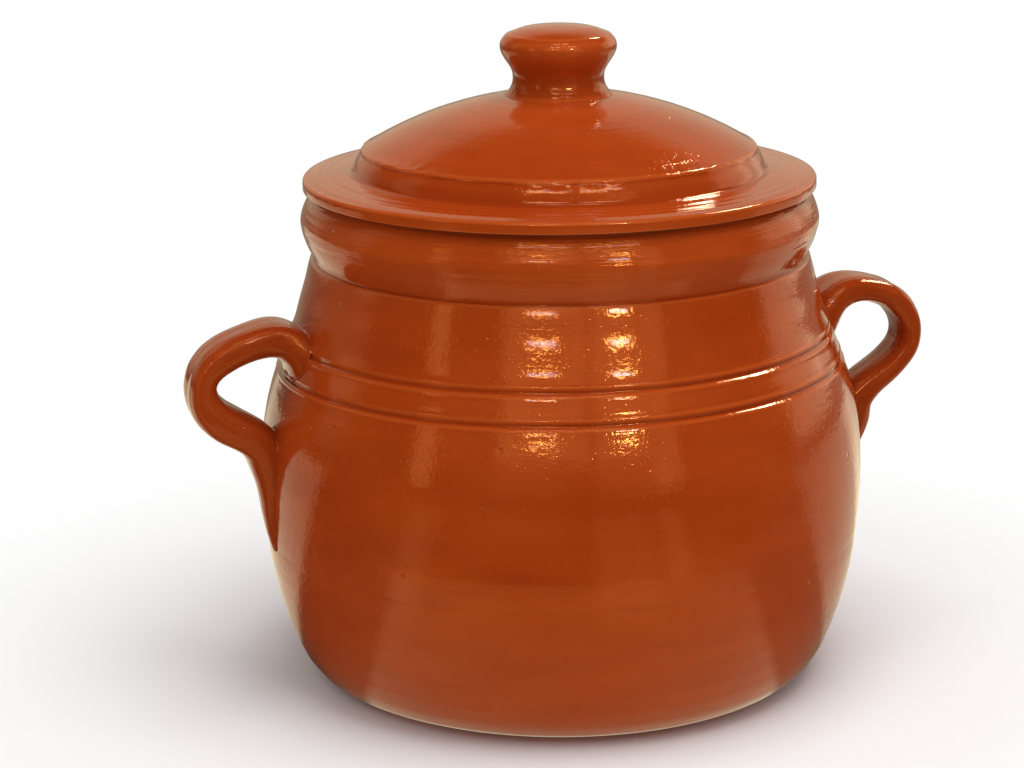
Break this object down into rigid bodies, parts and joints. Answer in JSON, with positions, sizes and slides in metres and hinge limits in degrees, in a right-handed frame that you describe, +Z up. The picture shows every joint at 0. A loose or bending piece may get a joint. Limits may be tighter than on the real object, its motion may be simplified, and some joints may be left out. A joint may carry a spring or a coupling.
{
  "type": "lidded cooking pot",
  "caption": "Round-bellied glazed earthenware cooking pot with a stepped collar rim, strap handles and a domed lift-off lid with a knob.",
  "frame": {"origin": "centre of the pot's flat foot, on the surface it stands on", "axes": "+Z up along the pot's turning axis; +X towards the right handle; +Y away from the front"},
  "size_m": [0.2498, 0.196, 0.2117],
  "materials": {
    "glazed_clay": "clear gloss glaze over orange-brown clay, darker where it lies thick",
    "bare_clay": "unglazed, matt, faint throwing lines"
  },
  "bodies": {
    "pot": {"pot_body": "glazed_clay", "left_handle": "glazed_clay", "right_handle": "glazed_clay"},
    "lid": {"lid_cover": "glazed_clay", "lid_locating_ring": "bare_clay", "lid_knob": "glazed_clay"}
  },
  "joints": [
    {"name": "lid_lift", "type": "slide", "parent": "pot", "child": "lid", "axis": [0, 0, 1], "range_m": [0, 0.12]}
  ]
}
